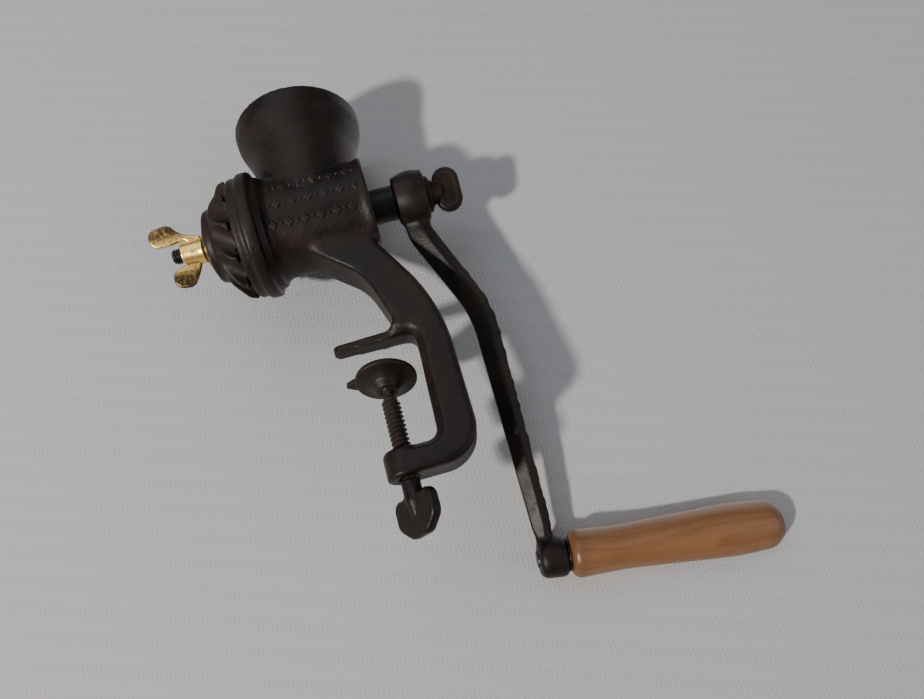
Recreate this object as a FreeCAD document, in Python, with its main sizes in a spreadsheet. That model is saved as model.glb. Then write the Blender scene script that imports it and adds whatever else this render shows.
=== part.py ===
import FreeCAD, Part
import math
import os

import Sketcher
from FreeCAD import Placement, Rotation, Vector

# A clamp-on hand mill. +X runs along the barrel from the grinding mouth to the crank, +Z is up.
# The origin is on the underside of the upper jaw, on the axis of the clamp screw: the jaw rests on
# the table top there. "Mouth" sizes are measured along X from the flange's front step.

dimensions = [
    # the casting: barrel and mouth
    ("axis_height", 75.7, "barrel axis above the table top"),
    ("mouth_place", -45.2, "x of the flange step"),
    ("barrel_radius", 24.2, "outside of the barrel"),
    ("barrel_length", 60.0, "flange step to the rear face"),
    ("barrel_wall", 5.2, "wall around the worm"),
    ("rear_wall", 10.0, "length of the rear bearing"),
    ("rear_rim", 1.0, "rear edge stands proud of the barrel"),
    ("flange_radius", 31.4, "largest radius of the mouth flange"),
    ("flange_width", 5.5, "flange step to its rear edge"),
    ("band_radius", 29.8, "band in front of the flange step"),
    ("band_width", 5.0, "length of that band"),
    ("ring_seat_radius", 26.6, "counterbore that holds the grinding ring"),
    ("ring_seat_depth", 8.0, "depth of the counterbore"),
    # the casting: hopper
    ("hopper_place", 32.3, "flange step to the hopper axis"),
    ("hopper_height", 59.6, "rim above the barrel axis"),
    ("hopper_radius", 32.8, "outside of the rim"),
    ("hopper_wall", 3.0, "wall of the bowl"),
    ("bowl_height", 53.5, "where the bowl turns up into the rim"),
    ("neck_radius", 27.2, "outside of the neck at its top"),
    ("neck_height", 39.5, "top of the neck"),
    ("neck_foot", 24.4, "outside of the neck at the barrel"),
    ("throat_radius", 16.0, "hole from the bowl into the barrel"),
    # the casting: arm and clamp
    ("spine_outer", 33.7, "x of the back of the clamp"),
    ("spine_inner", 17.6, "x of the inside of the clamp"),
    ("clamp_gap", 51.3, "jaw underside to the lower arm"),
    ("lower_arm", 12.8, "height of the lower arm"),
    ("boss_radius", 9.2, "boss around the clamp screw"),
    ("arm_width", 24.0, "width of the arm below the barrel"),
    ("jaw_reach", 19.5, "clamp screw axis to the tip of the jaw"),
    ("jaw_thick", 3.9, "thickness of the jaw"),
    ("jaw_tip_width", 7.0, "width of the jaw at its tip"),
    ("jaw_root_width", 14.0, "width of the jaw at its root"),
    ("inner_bevel", 4.6, "bevel around the inside of the clamp"),
    ("edge_round", 2.4, "rounding of the long edges"),
    ("arm_fillet", 5.0, "fillet between the arm and the barrel"),
    # worm and drive
    ("journal_radius", 8.8, "rear journal of the worm"),
    ("journal_length", 11.8, "journal behind the barrel"),
    ("fit_clearance", 0.05, "radial running clearance of shafts and seats"),
    ("worm_clearance", 0.6, "worm flight to the barrel wall"),
    ("worm_pitch", 24.0, "lead of the worm"),
    ("flight_width", 4.0, "thickness of the worm flight"),
    ("washer_thick", 1.4, "thrust washer"),
    ("face_gap", 0.15, "end play of the worm"),
    ("crank_square", 11.6, "square that carries the crank"),
    ("cap_square", 9.8, "square that carries the cap"),
    ("stud_radius", 3.9, "crest of the stud's thread"),
    ("stud_pitch", 1.25, "pitch of the stud's thread"),
    ("stud_reach", 41.0, "flange step to the front end of the stud"),
    # cap and ring
    ("cap_radius", 29.6, "rim of the cap"),
    ("cap_front", 20.0, "flange step to the edge of the front disc"),
    ("cap_disc_radius", 18.2, "front disc of the cap"),
    ("cap_dome", 4.4, "rise of the front disc"),
    ("cap_gap", 1.0, "opening where the ground coffee falls out"),
    ("burr_gap", 0.4, "cap teeth to ring teeth"),
    ("burr_inner", 20.0, "inner radius of the teeth"),
    ("lobe_count", 11, "lobes around the cap"),
    ("scoop_radius", 5.9, "radius of the hollow between two lobes"),
    ("tooth_count", 30, "teeth on the ring and on the cap"),
    ("tooth_side", 1.3, "side of the square tool that leaves each groove between teeth"),
    # wing nut
    ("nut_radius", 6.2, "hub of the wing nut"),
    ("nut_length", 11.4, "length of the hub"),
    ("wing_thick", 2.8, "thickness of the wings"),
    ("wing_lean", 24.0, "turn of the wing nut and the thumb screw at rest"),
    # crank
    ("crank_throw", 189.0, "shaft axis to the grip axis at the end boss"),
    ("crank_lean", 17.0, "turn of the crank from straight down at rest"),
    ("crank_boss_radius", 14.0, "boss on the shaft"),
    ("crank_boss_width", 16.2, "length of that boss"),
    ("crank_offset", 38.6, "rear face of the barrel to the middle of the arm"),
    ("crank_bend_start", 19.0, "shaft axis to the first bend"),
    ("crank_bend_end", 64.5, "shaft axis to the second bend"),
    ("arm_broad", 13.6, "breadth of the crank arm at the shaft"),
    ("arm_slim", 9.0, "breadth of the crank arm at the grip"),
    ("arm_thick", 9.6, "thickness of the crank arm at the shaft"),
    ("arm_thin", 7.4, "thickness of the crank arm at the grip"),
    ("end_boss_radius", 9.8, "boss at the grip"),
    ("end_boss_width", 13.6, "length of the boss at the grip"),
    ("grip_lean", 7.3, "outward lean of the grip"),
    # thumb screw
    ("thumb_radius", 9.4, "collar of the thumb screw"),
    ("thumb_neck", 6.2, "neck of the thumb screw"),
    ("thumb_height", 22.6, "finger plate, long way"),
    ("thumb_width", 13.6, "finger plate, short way"),
    ("thumb_thick", 5.4, "finger plate"),
    ("thumb_shank", 3.9, "shank in the end of the worm"),
    # grip
    ("grip_length", 103.8, "length of the wooden grip"),
    ("grip_fat", 12.3, "largest radius of the grip"),
    ("grip_waist", 10.5, "radius at the waist"),
    ("grip_shoulder", 11.3, "radius at the crank end"),
    ("spindle_radius", 2.9, "pin that the grip turns on"),
    ("grip_clearance", 0.3, "grip bore and spindle"),
    ("grip_washer", 1.2, "thickness of each grip washer"),
    # clamp screw and pad
    ("screw_radius", 4.2, "crest of the clamp screw's thread"),
    ("screw_pitch", 2.1, "pitch of the clamp screw"),
    ("thread_depth", 0.95, "depth of the clamp screw's thread"),
    ("screw_clearance", 0.3, "screw crest to the bore of the boss"),
    ("pad_drop", 16.6, "jaw underside to the pad's ball at rest"),
    ("pad_radius", 14.0, "rim of the pad"),
    ("pad_lean", 15.0, "lean of the loose pad at rest"),
    ("pad_lean_side", 6.0, "second lean of the loose pad at rest"),
    ("ball_radius", 3.4, "ball on the end of the clamp screw"),
    ("ball_clearance", 0.3, "ball to its socket"),
    ("wing_span", 27.0, "wing head of the clamp screw, tip to tip"),
    ("wing_height", 19.0, "height of the wing head"),
    ("wing_plate", 5.0, "thickness of the wing head"),
    ("wing_turn", -50.0, "turn of the wing head at rest"),
]

doc = FreeCAD.newDocument("hand_mill")
sheet = doc.addObject("Spreadsheet::Sheet", "dims")
for row, (alias, number, note) in enumerate(dimensions, start=1):
    sheet.set(f"A{row}", alias)
    sheet.set(f"B{row}", str(number))
    sheet.set(f"C{row}", note)
    sheet.setAlias(f"B{row}", alias)
doc.recompute()
probe = doc.addObject("App::FeaturePython", "probe")


def value(formula):
    """The number that a formula over the sheet's aliases gives."""
    return float(probe.evalExpression(str(formula)))


def bind(thing, **formulas):
    """Binds properties to formulas; __ in a name stands for a dot."""
    for name, formula in formulas.items():
        thing.setExpression(name.replace("__", "."), str(formula))


def place(thing, across=0, depth=0, up=0, rotation=None):
    """Places a piece; the three distances are formulas."""
    base = Vector(value(across), value(depth), value(up))
    thing.Placement = Placement(base, rotation or Rotation())


def at_mouth(thing, rotation=None):
    """Places a drive-line piece: its local origin goes to the flange step on the barrel axis."""
    place(thing, "dims.mouth_place", 0, "dims.axis_height", rotation)


def new_body(label):
    body = doc.addObject("PartDesign::Body", label)
    body.Label = label
    return body


def base_plane(body, role):
    return next(f for f in body.Origin.OriginFeatures if f.Role == role)


def outline(body, role, corners, name="Outline"):
    """A closed sketch with a corner at each (across, up, rounding), all three formulas.

    Straight sides run through the sharp corners, and an arc tangent to both sides rounds each
    corner whose rounding isn't 0.
    """
    sketch = body.newObject("Sketcher::SketchObject", body.Name + name)
    sketch.AttachmentSupport = [(base_plane(body, role), "")]
    sketch.MapMode = "FlatFace"
    points = [Vector(value(a), value(u), 0) for a, u, r in corners]
    radii = [value(r) for a, u, r in corners]
    count = len(corners)
    starts, ends, arcs = [], [], []
    for k, point in enumerate(points):
        back = (points[k - 1] - point).normalize()
        ahead = (points[(k + 1) % count] - point).normalize()
        if radii[k] == 0:
            starts.append(point)
            ends.append(point)
            arcs.append(None)
            continue
        half = back.getAngle(ahead) / 2
        reach = radii[k] / math.tan(half)
        centre = point + (back + ahead).normalize() * (radii[k] / math.sin(half))
        starts.append(point + back * reach)
        ends.append(point + ahead * reach)
        first, last = starts[k] - centre, ends[k] - centre
        forward = first.cross(last).z > 0
        if not forward:
            first, last = last, first
        begin = math.atan2(first.y, first.x)
        finish = math.atan2(last.y, last.x)
        if finish < begin:
            finish += 2 * math.pi
        circle = Part.Circle(centre, Vector(0, 0, 1), radii[k])
        arcs.append((Part.ArcOfCircle(circle, begin, finish), forward))
    sides = [sketch.addGeometry(Part.LineSegment(ends[k], starts[(k + 1) % count]), False)
             for k in range(count)]
    rules, formulas = [], {}

    def fix(kind, where, formula, axis):
        if str(formula) == "0":
            rules.append(Sketcher.Constraint("PointOnObject", *where, axis))
            return
        number = value(formula)
        formulas[len(rules)] = str(formula)
        rules.append(Sketcher.Constraint(kind, -1, 1, *where, number))

    for k, (across, up, rounding) in enumerate(corners):
        before, after = sides[k - 1], sides[k]
        if arcs[k] is None:
            rules.append(Sketcher.Constraint("Coincident", before, 2, after, 1))
            where = (after, 1)
        else:
            arc, forward = arcs[k]
            bend = sketch.addGeometry(arc, False)
            corner = sketch.addGeometry(Part.Point(points[k]), True)
            enter, leave = (1, 2) if forward else (2, 1)
            rules.append(Sketcher.Constraint("Tangent", before, 2, bend, enter))
            rules.append(Sketcher.Constraint("Tangent", bend, leave, after, 1))
            rules.append(Sketcher.Constraint("PointOnObject", corner, 1, before))
            rules.append(Sketcher.Constraint("PointOnObject", corner, 1, after))
            formulas[len(rules)] = str(rounding)
            rules.append(Sketcher.Constraint("Radius", bend, radii[k]))
            where = (corner, 1)
        fix("DistanceX", where, across, -2)
        fix("DistanceY", where, up, -1)
    sketch.addConstraint(rules)
    for index, formula in formulas.items():
        sketch.setExpression(f"Constraints[{index}]", formula)
    doc.recompute()
    return sketch


def turn(body, corners, axis="H_Axis", role="XZ_Plane", cut=False, name="Turn"):
    """Turns an outline about a sketch axis, to add material or to groove it away."""
    sketch = outline(body, role, corners, name + "Profile")
    kind = "PartDesign::Groove" if cut else "PartDesign::Revolution"
    feature = body.newObject(kind, body.Name + name)
    feature.Profile = sketch
    feature.ReferenceAxis = (sketch, [axis])
    feature.Angle = 360
    doc.recompute()
    return feature


def pad(body, corners, length, role="XZ_Plane", cut=False, name="Pad"):
    """Pads an outline equally to both sides of its plane, or pockets it away."""
    sketch = outline(body, role, corners, name + "Profile")
    kind = "PartDesign::Pocket" if cut else "PartDesign::Pad"
    feature = body.newObject(kind, body.Name + name)
    feature.Profile = sketch
    feature.Midplane = True
    feature.setExpression("Length", str(length))
    doc.recompute()
    return feature


def cylinder(name, radius, height, base, direction):
    """A Part cylinder bound to the sheet; base is three formulas, direction a vector."""
    rod = doc.addObject("Part::Cylinder", name)
    bind(rod, Radius=radius, Height=height)
    place(rod, *base, rotation=Rotation(Vector(0, 0, 1), direction))
    return rod


def boolean(kind, name, pieces):
    """Part::MultiFuse, Part::MultiCommon or Part::Cut of the pieces in order."""
    result = doc.addObject(kind, name)
    if kind == "Part::Cut":
        result.Base, result.Tool = pieces
    else:
        result.Shapes = pieces
    result.Refine = kind != "Part::Cut"
    result.Label = name
    doc.recompute()
    return result


def casting_frame():
    """Arm, spine, lower arm and the root of the jaw, as two crossed outlines."""
    side = new_body("frame_side")
    arm_foot = "dims.axis_height - 0.6 * dims.barrel_radius"
    pad(side, [
        ("dims.mouth_place + 50", "dims.axis_height - 13", 0),
        ("dims.mouth_place + 16", arm_foot, 0),
        ("dims.mouth_place + 47.2", "dims.axis_height - 41.9", 30),
        ("dims.mouth_place + 56.9", "dims.jaw_thick", 4.5),
        ("dims.spine_inner - 9", "dims.jaw_thick", 0),
        ("dims.spine_inner - 9", 0, 0),
        ("dims.spine_inner + 0.8", 0, 5),
        ("dims.spine_inner - 1.2", "-dims.clamp_gap", 5),
        (0, "-dims.clamp_gap", 0),
        (0, "-dims.clamp_gap - dims.lower_arm", 0),
        ("dims.spine_outer", "-dims.clamp_gap - dims.lower_arm", 17),
        ("dims.spine_outer", "dims.axis_height - 65.1", 90),
    ], "dims.arm_width + 10")
    front = new_body("frame_front")
    low = "-dims.clamp_gap - dims.lower_arm - 5"
    pad(front, [
        ("-dims.boss_radius", low, 0),
        ("dims.boss_radius", low, 0),
        ("dims.boss_radius", "-dims.clamp_gap / 2", 0),
        ("dims.arm_width / 2", "dims.axis_height - 12", 0),
        ("-dims.arm_width / 2", "dims.axis_height - 12", 0),
        ("-dims.boss_radius", "-dims.clamp_gap / 2", 0),
    ], "4 * dims.spine_outer", role="YZ_Plane")
    return boolean("Part::MultiCommon", "frame_blank", [side, front])


def long_edges(shape, wanted):
    """Numbers of the edges where the frame's sides meet its outline, picked by their middle."""
    numbers = []
    for number, edge in enumerate(shape.Edges, start=1):
        halfway = (edge.FirstParameter + edge.LastParameter) / 2
        middle, along = edge.valueAt(halfway), edge.tangentAt(halfway)
        crease = abs(along.x) > 0.99 and abs(middle.z + value("dims.clamp_gap / 2")) < 0.5
        if abs(along.y) < 0.7 and abs(middle.y) > 5 and not crease and wanted(middle):
            numbers.append(number)
    return numbers


def eased(kind, name, blank, numbers, size, other=None):
    """Part::Fillet or Part::Chamfer of the numbered edges of a blank."""
    feature = doc.addObject(kind, name)
    feature.Base = blank
    feature.Edges = [(number, value(size), value(other or size)) for number in numbers]
    doc.recompute()
    return feature


def inside_clamp(middle, margin=0):
    reach = value("dims.spine_inner + 3") + margin
    low = -value("dims.clamp_gap + 3") - margin
    return 2 < middle.x < reach and low < middle.z < 2 + margin / 2


def outside_clamp(middle):
    stub = abs(middle.z - value("dims.jaw_thick")) < 0.1
    inside = inside_clamp(middle, value("dims.inner_bevel"))
    return not inside and not stub and middle.z < value("dims.axis_height - 20")


def jaw():
    """The tongue that lies on the table, tapered and rounded at its tip."""
    tongue = new_body("jaw_tongue")
    root = "dims.spine_inner + 6"
    sketch = outline(tongue, "XY_Plane", [
        ("-dims.jaw_reach", "-dims.jaw_tip_width / 2", "dims.jaw_tip_width * 0.42"),
        (root, "-dims.jaw_root_width / 2", 0),
        (root, "dims.jaw_root_width / 2", 0),
        ("-dims.jaw_reach", "dims.jaw_tip_width / 2", "dims.jaw_tip_width * 0.42"),
    ])
    plate = tongue.newObject("PartDesign::Pad", "TonguePad")
    plate.Profile = sketch
    plate.setExpression("Length", "dims.jaw_thick")
    doc.recompute()
    return tongue


def barrel():
    """Barrel, mouth flange and rear edge, turned about X."""
    body = new_body("barrel_blank")
    rear = "dims.barrel_length"
    foot = "dims.flange_width + 5"
    turn(body, [
        ("-dims.band_width", 0, 0),
        ("-dims.band_width", "dims.band_radius", 0.8),
        (0, "dims.band_radius", 0),
        (0, "dims.flange_radius", 0.9),
        ("dims.flange_width", "dims.flange_radius", 0.9),
        ("dims.flange_width + 0.6", "dims.flange_radius - 3", 0.8),
        ("dims.flange_width + 3.6", "dims.flange_radius - 3.8", 1.0),
        (foot, "dims.barrel_radius", 2.5),
        (f"{rear} - 5", "dims.barrel_radius", 4),
        (f"{rear} - 2.4", "dims.barrel_radius + dims.rear_rim", 0.6),
        (rear, "dims.barrel_radius + dims.rear_rim", 0.5),
        (rear, 0, 0),
    ])
    at_mouth(body)
    return body


def hopper_place(body):
    place(body, "dims.mouth_place + dims.hopper_place", 0, "dims.axis_height")


def hopper():
    """Outside of the hopper, turned about Z and filled to the axis."""
    body = new_body("hopper_blank")
    turn(body, [
        (0, "dims.barrel_radius / 4", 0),
        ("dims.neck_foot - 4", "dims.barrel_radius / 4", 0),
        ("dims.neck_foot", "dims.barrel_radius", 20),
        ("dims.neck_radius", "dims.neck_height", 24),
        ("dims.hopper_radius - 0.8", "dims.bowl_height - 1", 9),
        ("dims.hopper_radius", "dims.hopper_height", "dims.hopper_wall * 0.28"),
        (0, "dims.hopper_height", 0),
    ], axis="V_Axis")
    hopper_place(body)
    return body


def hopper_inside():
    """Inside of the hopper: a bowl with a throat down into the barrel."""
    body = new_body("hopper_inside")
    above = "dims.hopper_height + 1"
    bowl = "dims.hopper_radius - dims.hopper_wall"
    turn(body, [
        (0, 0, 0),
        ("dims.throat_radius", 0, 0),
        ("dims.throat_radius", "dims.barrel_radius - 1", 6),
        ("dims.neck_radius - dims.hopper_wall", "dims.neck_height + 1", 16),
        (bowl, "dims.bowl_height + 1", 7),
        (bowl, "dims.hopper_height - 1.2", 0.8),
        (f"{bowl} + 1.2", above, 0),
        (0, above, 0),
    ], axis="V_Axis")
    hopper_place(body)
    return body


def barrel_inside():
    """Worm chamber, seat of the grinding ring and rear bearing, turned about X."""
    body = new_body("barrel_inside")
    chamber = "dims.barrel_radius - dims.barrel_wall"
    seat = "dims.ring_seat_depth - dims.band_width"
    bearing = "dims.journal_radius + dims.fit_clearance"
    end = "dims.barrel_length - dims.rear_wall"
    turn(body, [
        ("-dims.band_width - 1", 0, 0),
        ("-dims.band_width - 1", "dims.ring_seat_radius", 0),
        (seat, "dims.ring_seat_radius", 0),
        (seat, chamber, 0),
        (end, chamber, 0),
        (end, bearing, 0),
        ("dims.barrel_length + 1", bearing, 0),
        ("dims.barrel_length + 1", 0, 0),
    ])
    at_mouth(body)
    return body


def arm_junction(shape):
    """Numbers of the edges where the arm's faces run into the underside of the barrel."""
    centre, radius = value("dims.axis_height"), value("dims.barrel_radius")
    found = []
    for number, edge in enumerate(shape.Edges, start=1):
        steps = [edge.FirstParameter + (edge.LastParameter - edge.FirstParameter) * k / 6
                 for k in range(7)]
        points = [edge.valueAt(step) for step in steps]
        on_barrel = all(abs(math.hypot(p.y, p.z - centre) - radius) < 0.02 for p in points)
        if on_barrel and all(p.z < centre - 0.6 * radius for p in points):
            found.append(number)
    return found


def mill_body():
    """The whole casting."""
    blank = casting_frame()
    inner = long_edges(blank.Shape, inside_clamp)
    bevelled = eased("Part::Chamfer", "frame_bevelled", blank, inner, "dims.inner_bevel",
                     "0.75 * dims.inner_bevel")
    outer = long_edges(bevelled.Shape, outside_clamp)
    frame = eased("Part::Fillet", "frame_eased", bevelled, outer, "dims.edge_round")
    boss = new_body("clamp_boss")
    turn(boss, [
        (0, 0, 0),
        ("dims.boss_radius", 0, "dims.edge_round / 2"),
        ("dims.boss_radius", "dims.lower_arm", "dims.edge_round"),
        (0, "dims.lower_arm", 0),
    ], axis="V_Axis")
    place(boss, 0, 0, "-dims.clamp_gap - dims.lower_arm")
    sharp = boolean("Part::MultiFuse", "casting_sharp", [frame, jaw(), boss, barrel(), hopper()])
    solid = eased("Part::Fillet", "casting_solid", sharp, arm_junction(sharp.Shape), "dims.arm_fillet")
    bore = cylinder("clamp_bore", "dims.screw_radius + dims.screw_clearance",
                    "dims.lower_arm + 4", (0, 0, "-dims.clamp_gap - dims.lower_arm - 2"),
                    Vector(0, 0, 1))
    hollow = boolean("Part::MultiFuse", "casting_hollows", [barrel_inside(), hopper_inside(), bore])
    return boolean("Part::Cut", "mill_body", [solid, hollow])


def along(body, corners, cut=False, name="Helix", pitch=0, height=0):
    """Carries a small outline along a right-handed helix about the body's long axis (X)."""
    sketch = outline(body, "XZ_Plane", corners, name + "Profile")
    kind = "PartDesign::SubtractiveHelix" if cut else "PartDesign::AdditiveHelix"
    feature = body.newObject(kind, body.Name + name)
    feature.Profile = sketch
    feature.ReferenceAxis = (sketch, ["H_Axis"])
    feature.Mode = 0
    bind(feature, Pitch=pitch, Height=height)
    doc.recompute()
    return feature


def thread(body, start, length, crest, depth, pitch, name="Thread"):
    """A triangular ridge of the given depth, rooted a little inside the core."""
    half = f"0.42 * ({pitch})"
    root = f"{crest} - {depth} - 0.15"
    return along(body, [
        (start, root, 0),
        (f"{start} + 2 * {half}", root, 0),
        (f"{start} + 1.15 * {half}", crest, 0),
        (f"{start} + 0.85 * {half}", crest, 0),
    ], name=name, pitch=pitch, height=length)


def square_bar(name, side, start, length, turned="0"):
    """A square bar along X in the drive line, turned about it by a number of degrees."""
    bar = doc.addObject("Part::Box", name)
    bind(bar, Length=length, Width=side, Height=side)
    corner = f"dims.mouth_place + {start}"
    place(bar, corner, f"({side}) / 2 * (sin({turned}) - cos({turned}))",
          f"dims.axis_height - ({side}) / 2 * (sin({turned}) + cos({turned}))",
          Rotation(Vector(1, 0, 0), value(turned)))
    return bar


def drive_cylinder(name, radius, start, length):
    """A round bar along X in the drive line."""
    base = (f"dims.mouth_place + {start}", 0, "dims.axis_height")
    return cylinder(name, radius, length, base, Vector(1, 0, 0))


cap_back = "(-dims.band_width)"
square_front = "(-dims.cap_front + 3)"
worm_back = "(dims.barrel_length - dims.rear_wall - dims.washer_thick - 2 * dims.face_gap)"
journal_end = "(dims.barrel_length + dims.journal_length)"
boss_back = "(dims.barrel_length + dims.journal_length + dims.crank_boss_width)"


def feed_worm():
    """Worm, journal and the two squares, one casting."""
    body = new_body("worm_blank")
    crest = "dims.barrel_radius - dims.barrel_wall - dims.worm_clearance"
    nose = f"{cap_back} + dims.face_gap"
    turn(body, [
        (nose, 0, 0),
        (nose, "dims.journal_radius", 0.6),
        (f"{worm_back} - 3", "dims.journal_radius", 0),
        (f"{worm_back} - 3", "dims.journal_radius + 6", 0.6),
        (worm_back, "dims.journal_radius + 6", 0.4),
        (worm_back, "dims.journal_radius", 0),
        (journal_end, "dims.journal_radius", 0.6),
        (journal_end, 0, 0),
    ])
    first = "dims.ring_seat_depth - dims.band_width + 1"
    along(body, [
        (first, "dims.journal_radius - 0.6", 0),
        (f"{first} + dims.flight_width", "dims.journal_radius - 0.6", 0),
        (f"{first} + 0.7 * dims.flight_width", crest, 0),
        (f"{first} + 0.3 * dims.flight_width", crest, 0),
    ], name="Flight", pitch="dims.worm_pitch",
        height=f"{worm_back} - {first} - dims.flight_width - 1")
    at_mouth(body)
    rear = square_bar("crank_seat", "dims.crank_square", f"{journal_end} - 1",
                      "dims.crank_boss_width", "dims.crank_lean")
    front = square_bar("cap_seat", "dims.cap_square", square_front, f"{nose} - {square_front} + 1")
    solid = boolean("Part::MultiFuse", "worm_solid", [body, rear, front])
    rear_hole = drive_cylinder("screw_hole", "dims.thumb_shank + dims.fit_clearance",
                               f"{boss_back} - 13", "14")
    front_hole = drive_cylinder("stud_hole", "dims.stud_radius - 0.6 + dims.fit_clearance",
                                f"{square_front} - 1", "15")
    holes = boolean("Part::MultiFuse", "worm_holes", [rear_hole, front_hole])
    return boolean("Part::Cut", "feed_worm", [solid, holes])


def front_stud():
    """Threaded stud in the worm's nose."""
    body = new_body("front_stud")
    core = "dims.stud_radius - 0.6"
    turn(body, [
        ("-dims.stud_reach", 0, 0),
        ("-dims.stud_reach", core, 0.8),
        (f"{square_front} + 13", core, 0),
        (f"{square_front} + 13", 0, 0),
    ])
    thread(body, "(-dims.stud_reach + 0.6)", f"dims.stud_reach + {square_front} - 2.4",
           "dims.stud_radius", "0.6", "dims.stud_pitch")
    at_mouth(body)
    return body


def teeth(name, face, inner, outer, outward):
    """Radial grooves across an annular face, as one tool. Each is a square bar on edge, its middle
    a little outward of the face, so that the groove is slightly narrower than the bar."""
    cutters = []
    count, side = int(value("dims.tooth_count")), value("dims.tooth_side")
    for k in range(count):
        groove = doc.addObject("Part::Box", f"{name}{k}")
        bind(groove, Length=side, Width=side, Height=f"{outer} - {inner} + 2")
        turned = Rotation(Vector(1, 0, 0), 360 * (k + 0.37) / count)
        tipped = turned * Rotation(Vector(0, 0, 1), 45)
        middle = value(f"dims.mouth_place + {face}") + 0.15 * side * outward
        centre = Vector(middle, 0, value("dims.axis_height"))
        lift = Vector(-side * math.sqrt(0.5), 0, value(f"{inner} - 1"))
        groove.Placement = Placement(centre + turned.multVec(lift), tipped)
        cutters.append(groove)
    return boolean("Part::MultiFuse", name, cutters)


def grinding_ring():
    """Fixed toothed ring in the mouth of the barrel."""
    body = new_body("ring_blank")
    back = "dims.ring_seat_depth - dims.band_width"
    outer = "dims.ring_seat_radius - dims.fit_clearance"
    front = f"{cap_back} + dims.burr_gap"
    turn(body, [
        (front, "dims.burr_inner", 0),
        (front, outer, 0.5),
        (back, outer, 0.5),
        (back, "dims.burr_inner - 1", 0),
        (f"{front} + 3", "dims.burr_inner - 1", 0),
    ])
    at_mouth(body)
    grooves = teeth("ring_groove", front, "dims.burr_inner", "dims.ring_seat_radius", -1)
    return boolean("Part::Cut", "grinding_ring", [body, grooves])


def grinding_cap():
    """Lobed cap: a dome with scoops around it, teeth behind, a square hole and a hole for the stud."""
    body = new_body("cap_blank")
    rear = "(-dims.band_width - dims.cap_gap)"
    disc, rim, front = "dims.cap_disc_radius", "dims.cap_radius", "dims.cap_front"
    burr = "dims.ring_seat_radius - 0.6"
    turn(body, [
        (f"-{front} - dims.cap_dome", 0, 0),
        (f"-{front} - dims.cap_dome", "dims.nut_radius + 1", 1.5),
        (f"-{front} - 0.5", f"{disc} - 0.2", 0.5),
        (f"-{front} + 3", f"{disc} + 0.6", 1.2),
        (f"-{front} + 4.4", f"{disc} + 3.4", 1.5),
        (f"-{front} + 10", f"{rim} - 0.6", 6),
        (rear, rim, 0.8),
        (rear, burr, 0),
        (cap_back, burr, 0.4),
        (cap_back, "dims.burr_inner", 0),
        (f"{cap_back} - 4", "dims.burr_inner - 1.5", 1),
        (f"{cap_back} - 4", "dims.journal_radius + 0.7", 1),
        (cap_back, "dims.journal_radius + 0.7", 0),
        (cap_back, 0, 0),
    ])
    scoop = body.newObject("PartDesign::SubtractiveCylinder", "scoop")
    bind(scoop, Radius="dims.scoop_radius", Height=30)
    fall, skew = math.radians(24), math.radians(30)
    heading = Vector(-math.cos(fall) * math.cos(skew), math.sin(skew), -math.sin(fall))
    base = Vector(value(f"{rear} + 2"), 0, value(f"{rim} + 1.7")) - heading * 3
    seam_away = Rotation(Vector(0, 0, 1), Vector(), heading, "ZXY")
    scoop.Placement = Placement(base, seam_away)
    doc.recompute()
    around = body.newObject("PartDesign::PolarPattern", "scoops")
    around.Originals = [scoop]
    around.Axis = (next(f for f in body.Origin.OriginFeatures if f.Role == "X_Axis"), [""])
    around.Angle = 360
    bind(around, Occurrences="dims.lobe_count")
    body.Tip = around
    doc.recompute()
    at_mouth(body)
    seat = square_bar("cap_hole", "dims.cap_square + 2 * dims.fit_clearance",
                      f"{square_front} - 0.2", f"{cap_back} - {square_front} + 2")
    hole = drive_cylinder("cap_bore", "dims.stud_radius + 0.3", f"-{front} - dims.cap_dome - 1", 14)
    grooves = teeth("cap_groove", cap_back, "dims.burr_inner", burr, 1)
    toothed = boolean("Part::Cut", "cap_toothed", [body, grooves])
    bored = boolean("Part::Cut", "cap_bored", [toothed, hole])
    return boolean("Part::Cut", "grinding_cap", [bored, seat])


def thrust_washer():
    body = new_body("thrust_washer")
    front = f"{worm_back} + dims.face_gap"
    turn(body, [
        (front, "dims.journal_radius + 0.3", 0),
        (front, "dims.barrel_radius - dims.barrel_wall - 2", 0.3),
        (f"{front} + dims.washer_thick", "dims.barrel_radius - dims.barrel_wall - 2", 0.3),
        (f"{front} + dims.washer_thick", "dims.journal_radius + 0.3", 0),
    ])
    at_mouth(body)
    return body


def plate_edges(shape, thickness):
    """Numbers of the edges around the two flat sides of a plate that stands in the XZ plane."""
    half = value(thickness) / 2
    return [n for n, edge in enumerate(shape.Edges, start=1)
            if all(abs(abs(v.Point.y) - half) < 1e-4 for v in edge.Vertexes)]


def rounded_plate(name, corners, thickness, rounding, open_end=None):
    """A plate in the XZ plane with its edges rounded, save those that open_end picks."""
    body = new_body(name + "_plate")
    pad(body, corners, thickness)
    numbers = [n for n in plate_edges(body.Shape, thickness)
               if not (open_end and open_end(body.Shape.Edges[n - 1].CenterOfMass))]
    return eased("Part::Fillet", name, body, numbers, rounding)


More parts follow.
